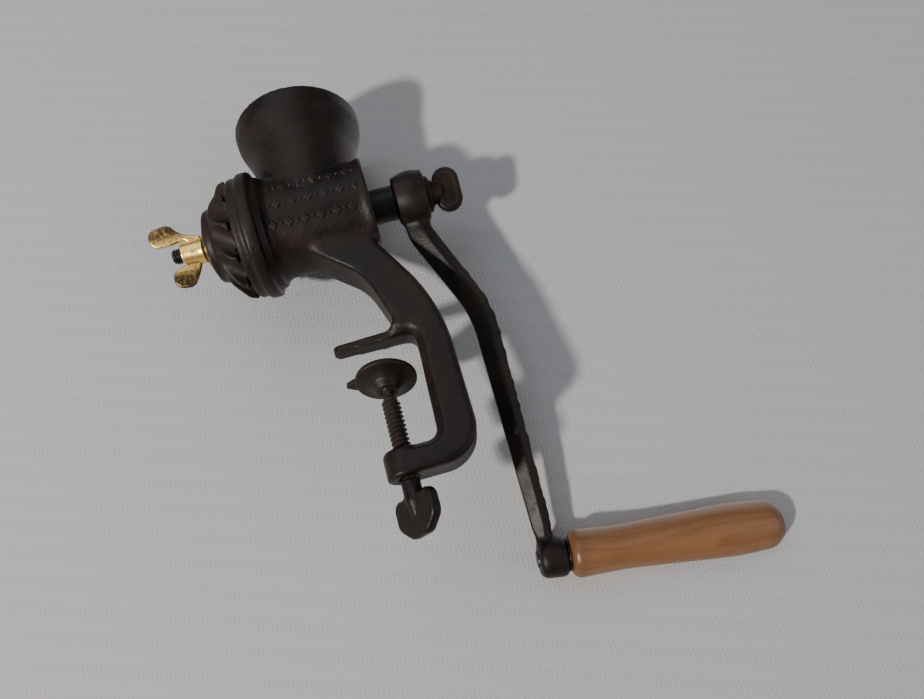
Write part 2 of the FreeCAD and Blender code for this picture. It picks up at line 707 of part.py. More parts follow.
def wing_nut():
    """Brass nut with two unequal wings that reach forward past its hub."""
    hub = new_body("nut_hub")
    rear = "(-dims.cap_front - dims.cap_dome - 0.3)"
    tip = f"({rear} - dims.nut_length)"
    bore = "dims.stud_radius + 0.1"
    turn(hub, [
        (rear, bore, 0),
        (rear, "dims.nut_radius + 0.5", 0.8),
        (f"{rear} - 2.5", "dims.nut_radius", 3),
        (tip, "dims.nut_radius - 0.5", 0.8),
        (tip, bore, 0),
    ])
    foot = "dims.stud_radius + 0.8"
    upper = rounded_plate("upper_wing", [
        (f"{rear} - 1", foot, 0),
        (f"{rear} - 1", "dims.nut_radius + 1.2", 0),
        (f"{rear} - 10.5", "dims.nut_radius + 4.2", 12),
        (f"{rear} - 15", "dims.nut_radius + 10.2", 4),
        (f"{rear} - 26", "dims.nut_radius + 9", 4.6),
        (f"{rear} - 25.6", "dims.nut_radius - 0.6", 4.6),
        (f"{rear} - 16", "dims.nut_radius - 0.3", 6),
        (f"{rear} - 9", "dims.nut_radius + 0.9", 2),
        (f"{rear} - 7.5", foot, 0),
    ], "dims.wing_thick", "0.4 * dims.wing_thick", lambda m: m.z < value(foot) + 0.01)
    lower = rounded_plate("lower_wing", [
        (f"{rear} - 2", f"-{foot}", 0),
        (f"{rear} - 9.5", f"-{foot}", 0),
        (f"{rear} - 12.5", "0.6 - dims.nut_radius", 3),
        (f"{rear} - 18", "-dims.nut_radius - 0.3", 4.5),
        (f"{rear} - 19.5", "-dims.nut_radius - 9.2", 4.8),
        (f"{rear} - 9.5", "-dims.nut_radius - 10.4", 4.8),
        (f"{rear} - 5", "-dims.nut_radius - 3.4", 8),
    ], "dims.wing_thick", "0.4 * dims.wing_thick", lambda m: m.z > value(f"-{foot}") - 0.01)
    nut = boolean("Part::MultiFuse", "nut_solid", [hub, upper, lower])
    clear = cylinder("nut_bore", bore, 30, (f"{rear} - 18", 0, 0), Vector(1, 0, 0))
    whole = boolean("Part::Cut", "wing_nut", [nut, clear])
    at_mouth(whole, Rotation(Vector(1, 0, 0), value("dims.wing_lean")))
    return whole


def crank_turn(extra=None):
    """Rotation of a crank piece: its own turn first, then the crank's lean about the shaft."""
    lean = Rotation(Vector(1, 0, 0), value("dims.crank_lean"))
    return lean * extra if extra else lean


end_boss_place = "(dims.barrel_length + dims.crank_offset + 0.8)"


def crank_path():
    """Middle line of the crank arm in its own plane: straight runs joined by two arcs."""
    start = value(f"{journal_end} + dims.crank_boss_width / 2")
    far = value("dims.barrel_length + dims.crank_offset")
    throw = value("dims.crank_throw")
    corners = [
        (Vector(start, 0, -4), 0),
        (Vector(start, 0, -value("dims.crank_bend_start")), 25),
        (Vector(far + 0.6, 0, -value("dims.crank_bend_end")), 62),
        (Vector(far - 0.4, 0, -throw + 4), 0),
    ]
    edges, last = [], corners[0][0]
    for k in (1, 2):
        point, radius = corners[k]
        back = (corners[k - 1][0] - point).normalize()
        ahead = (corners[k + 1][0] - point).normalize()
        half = back.getAngle(ahead) / 2
        enter = point + back * (radius / math.tan(half))
        leave = point + ahead * (radius / math.tan(half))
        inward = (back + ahead).normalize()
        middle = point + inward * (radius / math.sin(half) - radius)
        edges += [Part.LineSegment(last, enter).toShape(), Part.Arc(enter, middle, leave).toShape()]
        last = leave
    edges.append(Part.LineSegment(last, corners[3][0]).toShape())
    return Part.Wire(edges)


def crank_section(centre, heading, breadth, thickness):
    """An eight-sided lozenge across the arm, its ridge nearer the barrel side."""
    across = heading.cross(Vector(0, 1, 0)).normalize()
    shape = [(-0.5, -0.13), (-0.17, -0.5), (-0.07, -0.5), (0.5, -0.17),
             (0.5, 0.17), (-0.07, 0.5), (-0.17, 0.5), (-0.5, 0.13)]
    points = [centre + across * (-a * breadth) + Vector(0, b * thickness, 0) for a, b in shape]
    return Part.makePolygon(points + points[:1])


def crank_arm():
    """Cast crank: tapered lozenge arm between a crowned shaft boss and the grip's boss."""
    path = crank_path()
    stations = path.discretize(26)
    broad, slim = value("dims.arm_broad"), value("dims.arm_slim")
    thick, thin = value("dims.arm_thick"), value("dims.arm_thin")
    sections = []
    for k, centre in enumerate(stations):
        before, after = stations[max(k - 1, 0)], stations[min(k + 1, len(stations) - 1)]
        share = k / (len(stations) - 1)
        sections.append(crank_section(centre, (after - before).normalize(),
                                      broad + (slim - broad) * share,
                                      thick + (thin - thick) * share))
    arm = doc.addObject("Part::Feature", "crank_rod")
    arm.Shape = Part.makeLoft(sections, True, False)
    boss = new_body("crank_boss")
    turn(boss, [
        (journal_end, 0, 0),
        (journal_end, "dims.crank_boss_radius - 2.2", 1),
        (f"{journal_end} + dims.crank_boss_width / 2", "dims.crank_boss_radius + 0.3", 14),
        (boss_back, "dims.crank_boss_radius - 1.2", 1),
        (boss_back, 0, 0),
    ])
    tail = new_body("grip_boss")
    half = "dims.end_boss_width / 2"
    turn(tail, [
        (f"-{half}", 0, 0),
        (f"-{half}", "dims.end_boss_radius - 0.6", 3),
        (half, "dims.end_boss_radius", 1.6),
        (half, 0, 0),
    ])
    lean = Rotation(Vector(0, 1, 0), value("dims.grip_lean"))
    place(tail, end_boss_place, 0, "-dims.crank_throw", lean)
    solid = boolean("Part::MultiFuse", "crank_solid", [arm, boss, tail])
    seat = doc.addObject("Part::Box", "crank_hole")
    side = "(dims.crank_square + 2 * dims.fit_clearance)"
    bind(seat, Length="dims.crank_boss_width + 4", Width=side, Height=side)
    place(seat, f"{journal_end} - 2", f"-{side} / 2", f"-{side} / 2")
    hole = cylinder("spindle_hole", "dims.spindle_radius", 30, (0, 0, 0), Vector(0, 0, 1))
    shift = lean.multVec(Vector(-15, 0, 0))
    middle = Vector(value(end_boss_place), 0, -value("dims.crank_throw"))
    hole.Placement = Placement(middle + shift, lean * Rotation(Vector(0, 0, 1), Vector(1, 0, 0)))
    holes = boolean("Part::MultiFuse", "crank_holes", [seat, hole])
    crank = boolean("Part::Cut", "crank_arm", [solid, holes])
    at_mouth(crank, crank_turn())
    return crank


def at_grip(thing):
    """Places a piece whose local X is the grip's axis, from the middle of the grip's boss."""
    lean = Rotation(Vector(0, 1, 0), value("dims.grip_lean"))
    middle = Vector(value(end_boss_place), 0, -value("dims.crank_throw"))
    line = Vector(value("dims.mouth_place"), 0, value("dims.axis_height"))
    thing.Placement = Placement(line + crank_turn().multVec(middle), crank_turn(lean))


grip_start = "(dims.end_boss_width / 2 + dims.grip_washer + 2 * dims.face_gap)"
grip_end = f"({grip_start} + dims.grip_length)"
sink_floor = f"({grip_end} - 6.5)"


def grip():
    """Turned handle with a bore for the spindle and a sunk seat for its head."""
    body = new_body("grip")
    bore = "dims.spindle_radius + dims.grip_clearance"
    sink = "dims.spindle_radius + 2"
    turn(body, [
        (grip_start, bore, 0),
        (grip_start, "dims.grip_shoulder", 4.2),
        (f"{grip_start} + 0.25 * dims.grip_length", "dims.grip_waist - 0.2", 130),
        (f"{grip_start} + 0.76 * dims.grip_length", "dims.grip_fat + 0.3", 90),
        (f"{grip_end} - 5.5", "dims.grip_fat - 0.7", 9),
        (grip_end, "0.6 * dims.grip_fat", 3),
        (grip_end, sink, 0.5),
        (sink_floor, sink, 0),
        (sink_floor, bore, 0),
    ])
    at_grip(body)
    return body


def grip_washer(label, front, outer):
    body = new_body(label)
    inner = "dims.spindle_radius + dims.fit_clearance"
    turn(body, [
        (front, inner, 0),
        (front, outer, 0.3),
        (f"{front} + dims.grip_washer", outer, 0.3),
        (f"{front} + dims.grip_washer", inner, 0),
    ])
    at_grip(body)
    return body


def grip_spindle():
    """Pin with a riveted tail in the crank and a slotted head in the grip's far end."""
    body = new_body("spindle_blank")
    face = "(-dims.end_boss_width / 2)"
    head = f"({sink_floor} + dims.grip_washer + 2 * dims.face_gap)"
    turn(body, [
        (f"{face} - 0.7", 0, 0),
        (f"{face} - 0.7", "dims.spindle_radius + 1", 0.5),
        (face, "dims.spindle_radius + 1.3", 0),
        (face, "dims.spindle_radius", 0),
        (head, "dims.spindle_radius", 0),
        (head, "dims.spindle_radius + 1.5", 0.3),
        (f"{head} + 2.4", "dims.spindle_radius + 1.5", 1),
        (f"{head} + 2.4", 0, 0),
    ])
    slot = doc.addObject("Part::Box", "spindle_slot")
    bind(slot, Length=2, Width=1.2, Height=20)
    place(slot, f"{head} + 1.2", -0.6, -10)
    pin = boolean("Part::Cut", "grip_spindle", [body, slot])
    at_grip(pin)
    return pin


def thumb_screw():
    """Screw with an oval, panelled finger plate that holds the crank on its square."""
    stem = new_body("thumb_stem")
    collar = f"({boss_back} + 0.1)"
    plate_front = f"({collar} + 4.2)"
    turn(stem, [
        (f"{collar} - 11.5", 0, 0),
        (f"{collar} - 11.5", "dims.thumb_shank", 0.8),
        (collar, "dims.thumb_shank", 0),
        (collar, "dims.thumb_radius", 0.5),
        (f"{collar} + 1.6", "dims.thumb_radius - 0.2", 0.6),
        (f"{collar} + 3.4", "dims.thumb_neck", 1.5),
        (f"{plate_front} + 3", "dims.thumb_neck - 1", 2),
        (f"{plate_front} + 6", 1, 0),
        (f"{plate_front} + 6", 0, 0),
    ])
    high, wide = "dims.thumb_height / 2", "dims.thumb_width"
    oval = rounded_plate("thumb_plate", [
        (plate_front, f"-{high}", f"0.485 * {wide}"),
        (f"{plate_front} + {wide}", f"-{high}", f"0.485 * {wide}"),
        (f"{plate_front} + {wide}", high, f"0.485 * {wide}"),
        (plate_front, high, f"0.485 * {wide}"),
    ], "dims.thumb_thick", "0.3 * dims.thumb_thick")
    panels = new_body("thumb_panels")
    edge = 2.9
    pad(panels, [
        (f"{plate_front} + {edge}", f"{edge} - {high}", f"0.485 * {wide} - {edge}"),
        (f"{plate_front} + {wide} - {edge}", f"{edge} - {high}", f"0.485 * {wide} - {edge}"),
        (f"{plate_front} + {wide} - {edge}", f"{high} - {edge}", f"0.485 * {wide} - {edge}"),
        (f"{plate_front} + {edge}", f"{high} - {edge}", f"0.485 * {wide} - {edge}"),
    ], 30)
    core = doc.addObject("Part::Box", "thumb_web")
    web = "(dims.thumb_thick - 1.4)"
    bind(core, Length=60, Width=web, Height=60)
    place(core, f"{plate_front} - 30", f"-{web} / 2", -30)
    recess = boolean("Part::Cut", "thumb_recess", [panels, core])
    solid = boolean("Part::MultiFuse", "thumb_solid", [stem, oval])
    screw = boolean("Part::Cut", "thumb_screw", [solid, recess])
    at_mouth(screw, Rotation(Vector(1, 0, 0), value("dims.wing_lean")))
    return screw


ball_place = "(-dims.pad_drop - 4.5)"
boss_under = "(-dims.clamp_gap - dims.lower_arm)"


def clamp_screw():
    """Ball end, coarse thread, neck and two-winged head. Its local X points down."""
    stem = new_body("screw_stem")
    core = "dims.screw_radius - dims.thread_depth"
    shank = "dims.ball_radius - 1.4"
    first = "(dims.ball_radius + 2.1)"
    last = f"({ball_place} - {boss_under} + 0.4)"
    flank = "0.99 * dims.ball_radius"
    eighth = f"tan(22.5) * {flank}"
    bulge = f"0.96 * {flank}"
    turn(stem, [
        (f"-{flank}", 0, 0),
        (f"-{flank}", eighth, bulge),
        (f"-{eighth}", flank, bulge),
        (eighth, flank, bulge),
        (f"{eighth} + {flank} - ({shank})", shank, 0),
        ("dims.ball_radius + 1.2", shank, 0),
        (f"{first} + 0.4", core, 0),
        (last, core, 0),
        (f"{last} + 0.8", "dims.screw_radius", 0.4),
        (f"{last} + 9", "dims.screw_radius", 2),
        (f"{last} + 19", 2, 0),
        (f"{last} + 19", 0, 0),
    ])
    thread(stem, f"({first} + 0.6)", f"{last} - {first} - dims.screw_pitch",
           "dims.screw_radius", "dims.thread_depth", "dims.screw_pitch")
    top = f"({last} + 5.2)"
    side, low = "dims.wing_span / 2", f"({top} + dims.wing_height)"
    head = rounded_plate("wing_head", [
        (f"{top} - 1.5", "-dims.screw_radius", 0),
        (f"{top} + 1.6", "-dims.screw_radius - 1.2", 2.5),
        (f"{top} + 0.6", f"-{side}", 4.5),
        (f"{low} - 6", f"-{side}", 6),
        (low, f"-0.42 * {side}", 6),
        (low, f"0.42 * {side}", 6),
        (f"{low} - 6", side, 6),
        (f"{top} + 0.6", side, 4.5),
        (f"{top} + 1.6", "dims.screw_radius + 1.2", 2.5),
        (f"{top} - 1.5", "dims.screw_radius", 0),
    ], "dims.wing_plate", "0.36 * dims.wing_plate",
        lambda m: m.x < value(f"{top} - 1.4"))
    screw = boolean("Part::MultiFuse", "clamp_screw", [stem, head])
    down = Rotation(Vector(0, 1, 0), 90)
    turned = Rotation(Vector(0, 0, 1), value("dims.wing_turn"))
    place(screw, 0, 0, ball_place, turned * down)
    return screw


def clamp_pad():
    """Dished disc with a socket for the screw's ball and one small lug on its rim."""
    disc = new_body("pad_disc")
    rim = "dims.pad_radius"
    turn(disc, [
        (0, 5.3, 0),
        (f"{rim} - 3.6", 5.3, 1),
        (f"{rim} - 1.8", 6.1, 0.6),
        (rim, 5.9, 0.7),
        (rim, 3.7, 0.7),
        (f"{rim} - 4.5", 2.3, 6),
        ("dims.ball_radius + 3.4", 0.6, 3),
        ("dims.ball_radius + 1.5", -2.3, 0.7),
        ("dims.ball_radius - 0.3", -2.3, 0),
        ("dims.ball_radius - 0.3", 0, 0),
        (0, 0, 0),
    ], axis="V_Axis")
    lug = new_body("pad_lug")
    sketch = outline(lug, "XY_Plane", [
        (f"2 - {rim}", -3.8, 0),
        (f"2 - {rim}", 3.8, 0),
        (f"-{rim} - 0.6", 3, 1),
        (f"-{rim} - 5", 0, 1.2),
        (f"-{rim} - 0.6", -3, 1),
    ])
    plate = lug.newObject("PartDesign::Pad", "LugPad")
    plate.Profile = sketch
    plate.Length = 1.9
    place(lug, 0, 0, 3.9)
    doc.recompute()
    socket = doc.addObject("Part::Sphere", "pad_socket")
    bind(socket, Radius="dims.ball_radius + dims.ball_clearance")
    solid = boolean("Part::MultiFuse", "pad_solid", [disc, lug])
    whole = boolean("Part::Cut", "clamp_pad", [solid, socket])
    normal = Vector(math.tan(math.radians(value("dims.pad_lean_side"))),
                    math.tan(math.radians(value("dims.pad_lean"))), 1)
    place(whole, 0, 0, ball_place, Rotation(Vector(0, 0, 1), normal))
    return whole


pieces = [
    mill_body(),
    feed_worm(),
    front_stud(),
    grinding_ring(),
    grinding_cap(),
    thrust_washer(),
    wing_nut(),
    crank_arm(),
    thumb_screw(),
    grip(),
    grip_spindle(),
    grip_washer("inner_grip_washer", "(dims.end_boss_width / 2 + dims.face_gap)", 7.6),
    grip_washer("outer_grip_washer", f"({sink_floor} + dims.face_gap)",
                "dims.spindle_radius + 1.7"),
    clamp_screw(),
    clamp_pad(),
]
doc.recompute()

failed = [thing.Label for thing in doc.Objects if {"Invalid", "Error"} & set(thing.State)]
for piece in pieces:
    if piece.Shape.isNull() or not piece.Shape.isValid() or not piece.Shape.Solids:
        failed.append(piece.Label)
if failed:
    raise RuntimeError("these objects failed: " + ", ".join(sorted(set(failed))))

os.makedirs("parts", exist_ok=True)
for piece in pieces:
    piece.Shape.exportStep(f"parts/{piece.Label}.step")
    print(piece.Label, len(piece.Shape.Solids), "solid", round(piece.Shape.Volume), "cubic mm")
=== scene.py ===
# Hand coffee mill: finishes, cast shapes, the ornament on the barrel, the cloth behind it, lights and camera.
import math

import bmesh
import bpy
import numpy as np
from mathutils import Matrix, Vector


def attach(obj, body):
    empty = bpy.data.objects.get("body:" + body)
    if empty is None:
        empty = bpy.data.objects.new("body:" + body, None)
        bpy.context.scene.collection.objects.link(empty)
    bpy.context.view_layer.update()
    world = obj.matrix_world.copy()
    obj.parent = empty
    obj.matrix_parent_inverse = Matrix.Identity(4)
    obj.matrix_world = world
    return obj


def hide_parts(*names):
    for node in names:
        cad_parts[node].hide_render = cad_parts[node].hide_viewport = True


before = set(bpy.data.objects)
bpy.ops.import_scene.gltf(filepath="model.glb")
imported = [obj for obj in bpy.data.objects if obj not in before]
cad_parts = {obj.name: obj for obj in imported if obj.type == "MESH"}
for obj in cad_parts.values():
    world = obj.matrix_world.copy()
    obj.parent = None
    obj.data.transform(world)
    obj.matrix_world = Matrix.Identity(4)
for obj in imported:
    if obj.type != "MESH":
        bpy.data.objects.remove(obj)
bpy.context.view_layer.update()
print("frame loaded:", len(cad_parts), "nodes")


# ---------- small helpers for node trees ----------
def newFinish(name):
    finish = bpy.data.materials.new(name)
    finish.use_nodes = True
    tree = finish.node_tree
    return finish, tree, tree.nodes["Principled BSDF"]


def addNode(tree, kind, at=(0, 0), **settings):
    made = tree.nodes.new(kind)
    made.location = at
    for key, value in settings.items():
        if hasattr(made, key):
            setattr(made, key, value)
        else:
            made.inputs[key.replace("_", " ")].default_value = value
    return made


def wire(tree, source, target):
    tree.links.new(source, target)


def noiseOn(tree, where, grainSize, detail=4.0, roughness=0.55, distortion=0.0):
    # grainSize is in metres: a noise of scale 1 repeats about once a metre
    made = addNode(tree, "ShaderNodeTexNoise")
    made.inputs["Scale"].default_value = 1.0 / grainSize
    made.inputs["Detail"].default_value = detail
    made.inputs["Roughness"].default_value = roughness
    made.inputs["Distortion"].default_value = distortion
    wire(tree, where, made.inputs["Vector"])
    return made.outputs["Fac"]


def spread(tree, source, low, high, toLow=0.0, toHigh=1.0):
    made = addNode(tree, "ShaderNodeMapRange")
    made.interpolation_type = "SMOOTHSTEP"
    for key, value in (("From Min", low), ("From Max", high), ("To Min", toLow), ("To Max", toHigh)):
        made.inputs[key].default_value = value
    wire(tree, source, made.inputs["Value"])
    return made.outputs["Result"]


def combine(tree, how, first, second):
    made = addNode(tree, "ShaderNodeMath", operation=how)
    for place, part in ((0, first), (1, second)):
        if isinstance(part, (int, float)):
            made.inputs[place].default_value = part
        else:
            wire(tree, part, made.inputs[place])
    return made.outputs[0]


def mixColours(tree, amount, first, second):
    made = addNode(tree, "ShaderNodeMix", data_type="RGBA")
    if isinstance(amount, (int, float)):
        made.inputs["Factor"].default_value = amount
    else:
        wire(tree, amount, made.inputs["Factor"])
    for place, part in ((6, first), (7, second)):
        if isinstance(part, tuple):
            made.inputs[place].default_value = (*part, 1.0)
        else:
            wire(tree, part, made.inputs[place])
    return made.outputs[2]


def wornEdges(tree, radius, sharpness):
    # 1 on convex and concave edges: where the normal of a rounded edge leaves the surface's own
    rounded = addNode(tree, "ShaderNodeBevel", samples=6)
    rounded.inputs["Radius"].default_value = radius
    own = addNode(tree, "ShaderNodeNewGeometry")
    alike = addNode(tree, "ShaderNodeVectorMath", operation="DOT_PRODUCT")
    wire(tree, rounded.outputs["Normal"], alike.inputs[0])
    wire(tree, own.outputs["Normal"], alike.inputs[1])
    return spread(tree, alike.outputs["Value"], 1.0, 1.0 - sharpness)


def bumpFrom(tree, shader, layers):
    # layers: (height socket, distance in metres, strength), each on top of the one before
    last = None
    for height, distance, strength in layers:
        made = addNode(tree, "ShaderNodeBump")
        made.inputs["Distance"].default_value = distance
        made.inputs["Strength"].default_value = strength
        wire(tree, height, made.inputs["Height"])
        if last:
            wire(tree, last, made.inputs["Normal"])
        last = made.outputs["Normal"]
    wire(tree, last, shader.inputs["Normal"])


# ---------- cast iron, in several states of wear ----------
ironLooks = {
    "patinatedIron": {"deep": (0.0042, 0.0028, 0.0022), "brown": (0.017, 0.0092, 0.0060),
                      "worn": (0.085, 0.064, 0.050), "edgeWear": 0.50, "metallic": 0.22, "smooth": 0.36,
                      "rough": 0.54, "grain": 0.00010},
    "darkIron": {"deep": (0.0060, 0.0055, 0.0055), "brown": (0.018, 0.014, 0.012),
                 "worn": (0.070, 0.062, 0.056), "edgeWear": 0.4, "metallic": 0.30, "smooth": 0.30,
                 "rough": 0.48, "grain": 0.00008},
    "burrIron": {"deep": (0.05, 0.046, 0.042), "brown": (0.10, 0.085, 0.072), "worn": (0.34, 0.33, 0.31),
                 "edgeWear": 0.9, "metallic": 0.85, "smooth": 0.30, "rough": 0.5, "grain": 0.00006},
}


def makeIron(name):
    look = ironLooks[name]
    finish, tree, shader = newFinish(name)
    where = addNode(tree, "ShaderNodeTexCoord").outputs["Object"]
    clouds = noiseOn(tree, where, 0.030, 5, 0.6, 0.4)  # broad patches of brown in the black
    mottle = noiseOn(tree, where, 0.0045, 6, 0.65)  # hand-sized wear down to millimetres
    sand = noiseOn(tree, where, 0.0011, 3, 0.6)  # print of the mould's sand
    pits = addNode(tree, "ShaderNodeTexVoronoi", feature="F1")
    pits.inputs["Scale"].default_value = 1 / 0.0032
    wire(tree, where, pits.inputs["Vector"])
    holes = spread(tree, pits.outputs["Distance"], 0.05, 0.22)  # 0 in the middle of a small pit
    tone = mixColours(tree, spread(tree, clouds, 0.38, 0.66), look["deep"], look["brown"])
    tone = mixColours(tree, spread(tree, mottle, 0.35, 0.75, 0.0, 0.55), tone, look["brown"])
    edges = wornEdges(tree, 0.0014, 0.10)
    rubbed = combine(tree, "MULTIPLY", edges, spread(tree, mottle, 0.32, 0.62, 0.25, look["edgeWear"]))
    tone = mixColours(tree, rubbed, tone, look["worn"])
    wire(tree, tone, shader.inputs["Base Color"])
    gloss = spread(tree, combine(tree, "ADD", clouds, combine(tree, "MULTIPLY", mottle, 0.6)), 0.55, 1.05,
                   look["smooth"], look["rough"])
    wire(tree, gloss, shader.inputs["Roughness"])
    shader.inputs["Metallic"].default_value = look["metallic"]
    shader.inputs["Specular IOR Level"].default_value = 0.28
    bumpFrom(tree, shader, [
        (clouds, 0.0012, 0.25),
        (mottle, look["grain"] * 4, 0.6),
        (sand, look["grain"], 0.9),
        (holes, 0.00015, 0.35),
    ])
    return finish


# ---------- brass of the wing nut ----------
brassLook = {"bright": (0.97, 0.65, 0.21), "tarnish": (0.10, 0.060, 0.028), "grey": (0.34, 0.26, 0.15),
             "smooth": 0.22, "rough": 0.42}


def makeBrass():
    finish, tree, shader = newFinish("agedBrass")
    where = addNode(tree, "ShaderNodeTexCoord").outputs["Object"]
    clouds = noiseOn(tree, where, 0.009, 5, 0.6, 0.6)
    fine = noiseOn(tree, where, 0.0012, 5, 0.6)
    # further from the drive line, on the wings, fingers have left the metal browner
    apart = addNode(tree, "ShaderNodeSeparateXYZ")
    wire(tree, where, apart.inputs[0])
    outward = combine(tree, "ABSOLUTE", combine(tree, "SUBTRACT", apart.outputs[2], 0.0757), 0.0)
    wings = spread(tree, outward, 0.0050, 0.0105)
    tone = mixColours(tree, combine(tree, "MULTIPLY", wings, spread(tree, clouds, 0.10, 0.52)),
                      brassLook["bright"], brassLook["tarnish"])
    tone = mixColours(tree, spread(tree, fine, 0.5, 0.8, 0.0, 0.5), tone, brassLook["grey"])
    worn = combine(tree, "MULTIPLY", wornEdges(tree, 0.0009, 0.12), 0.55)
    tone = mixColours(tree, worn, tone, brassLook["bright"])
    wire(tree, tone, shader.inputs["Base Color"])
    gloss = spread(tree, fine, 0.3, 0.7, brassLook["smooth"], brassLook["rough"])
    wire(tree, gloss, shader.inputs["Roughness"])
    shader.inputs["Metallic"].default_value = 1.0
    bumpFrom(tree, shader, [(clouds, 0.0004, 0.3), (fine, 0.00005, 0.5)])
    return finish


# ---------- steel of the stud, pin and washers ----------
steelLooks = {
    "blackSteel": {"dark": (0.018, 0.017, 0.017), "light": (0.10, 0.095, 0.09), "smooth": 0.28,
                   "rough": 0.46},
    "greySteel": {"dark": (0.10, 0.095, 0.09), "light": (0.34, 0.33, 0.32), "smooth": 0.25, "rough": 0.42},
}


def makeSteel(name):
    look = steelLooks[name]
    finish, tree, shader = newFinish(name)
    where = addNode(tree, "ShaderNodeTexCoord").outputs["Object"]
    spots = noiseOn(tree, where, 0.004, 6, 0.65)
    fine = noiseOn(tree, where, 0.0006, 3, 0.6)
    tone = mixColours(tree, spread(tree, spots, 0.42, 0.75), look["dark"], look["light"])
    worn = combine(tree, "MULTIPLY", wornEdges(tree, 0.0005, 0.15), 0.5)
    tone = mixColours(tree, worn, tone, look["light"])
    wire(tree, tone, shader.inputs["Base Color"])
    wire(tree, spread(tree, spots, 0.3, 0.7, look["smooth"], look["rough"]), shader.inputs["Roughness"])
    shader.inputs["Metallic"].default_value = 0.85
    bumpFrom(tree, shader, [(spots, 0.0002, 0.4), (fine, 0.00004, 0.6)])
    return finish


# ---------- wood of the grip ----------
woodLook = {"pale": (0.200, 0.092, 0.038), "mid": (0.160, 0.068, 0.026), "dark": (0.095, 0.036, 0.013),
            "pore": (0.050, 0.020, 0.009), "smooth": 0.30, "rough": 0.46, "stretch": 0.055}
gripAxis = Vector((math.cos(math.radians(7.3)), math.sin(math.radians(7.3)) * math.sin(math.radians(17)),
                   -math.sin(math.radians(7.3)) * math.cos(math.radians(17))))
gripPlace = Vector((0.0542, 0.055258, -0.105042))  # middle of the crank's end boss


def makeWood():
    finish, tree, shader = newFinish("turnedWood")
    where = addNode(tree, "ShaderNodeTexCoord").outputs["Object"]
    # the pattern's own X runs along the grip
    turned = addNode(tree, "ShaderNodeMapping", vector_type="POINT")
    turn = gripAxis.rotation_difference(Vector((1, 0, 0)))
    turned.inputs["Rotation"].default_value = turn.to_euler()
    turned.inputs["Location"].default_value = -(turn @ gripPlace)
    wire(tree, where, turned.inputs["Vector"])
    along = addNode(tree, "ShaderNodeMapping", vector_type="POINT")
    along.inputs["Scale"].default_value = (woodLook["stretch"], 1.0, 1.0)
    along.inputs["Rotation"].default_value = (0, math.radians(1.5), math.radians(-2.0))
    wire(tree, turned.outputs["Vector"], along.inputs["Vector"])
    local = along.outputs["Vector"]
    sway = noiseOn(tree, local, 0.012, 3, 0.5)
    # year rings: planes across the grip, swayed by a slow noise
    parts = addNode(tree, "ShaderNodeSeparateXYZ")
    wire(tree, local, parts.inputs[0])
    depth = combine(tree, "ADD", parts.outputs[1], combine(tree, "MULTIPLY", parts.outputs[2], 0.35))
    swayed = combine(tree, "ADD", combine(tree, "MULTIPLY", depth, 1 / 0.0034),
                     combine(tree, "MULTIPLY", sway, 4.2))
    rings = combine(tree, "FRACT", swayed, 0.0)
    late = spread(tree, rings, 0.35, 0.95)
    streaks = noiseOn(tree, local, 0.0021, 6, 0.7)
    pores = noiseOn(tree, local, 0.00055, 2, 0.5)
    clouds = noiseOn(tree, turned.outputs["Vector"], 0.024, 4, 0.55)
    tone = mixColours(tree, combine(tree, "MULTIPLY", late, spread(tree, clouds, 0.3, 0.7, 0.35, 0.85)),
                      woodLook["pale"], woodLook["mid"])
    tone = mixColours(tree, spread(tree, streaks, 0.50, 0.78, 0.0, 0.38), tone, woodLook["dark"])
    tone = mixColours(tree, spread(tree, pores, 0.62, 0.76, 0.0, 0.45), tone, woodLook["pore"])
    # one small dark fleck about half way along
    fleck = addNode(tree, "ShaderNodeMapping", vector_type="POINT")
    spot = Vector((0.043, -0.0102, -0.0066))
    stretched = Vector((0.30, 1.0, 1.0))
    fleck.inputs["Scale"].default_value = stretched
    fleck.inputs["Location"].default_value = Vector([-a * b for a, b in zip(spot, stretched)])
    wire(tree, turned.outputs["Vector"], fleck.inputs["Vector"])
    reach = addNode(tree, "ShaderNodeVectorMath", operation="LENGTH")
    wire(tree, fleck.outputs["Vector"], reach.inputs[0])
    speck = spread(tree, reach.outputs["Value"], 0.0015, 0.0006, 0.0, 0.85)
    tone = mixColours(tree, speck, tone, woodLook["pore"])
    # both ends of the grip are painted a little darker
    ends = addNode(tree, "ShaderNodeSeparateXYZ")
    wire(tree, turned.outputs["Vector"], ends.inputs[0])
    darkerEnds = combine(tree, "MAXIMUM", spread(tree, ends.outputs[0], 0.020, 0.009, 0.0, 0.5),
                    spread(tree, ends.outputs[0], 0.101, 0.109, 0.0, 0.4))
    tone = mixColours(tree, darkerEnds, tone, woodLook["dark"])
    wire(tree, tone, shader.inputs["Base Color"])
    gloss = spread(tree, streaks, 0.3, 0.75, woodLook["smooth"], woodLook["rough"])
    wire(tree, gloss, shader.inputs["Roughness"])
    shader.inputs["Specular IOR Level"].default_value = 0.38
    shader.inputs["Coat Weight"].default_value = 0.06
    shader.inputs["Coat Roughness"].default_value = 0.35
    bumpFrom(tree, shader, [(late, 0.00008, 0.35), (streaks, 0.00012, 0.5), (pores, 0.00006, 0.5)])
    return finish


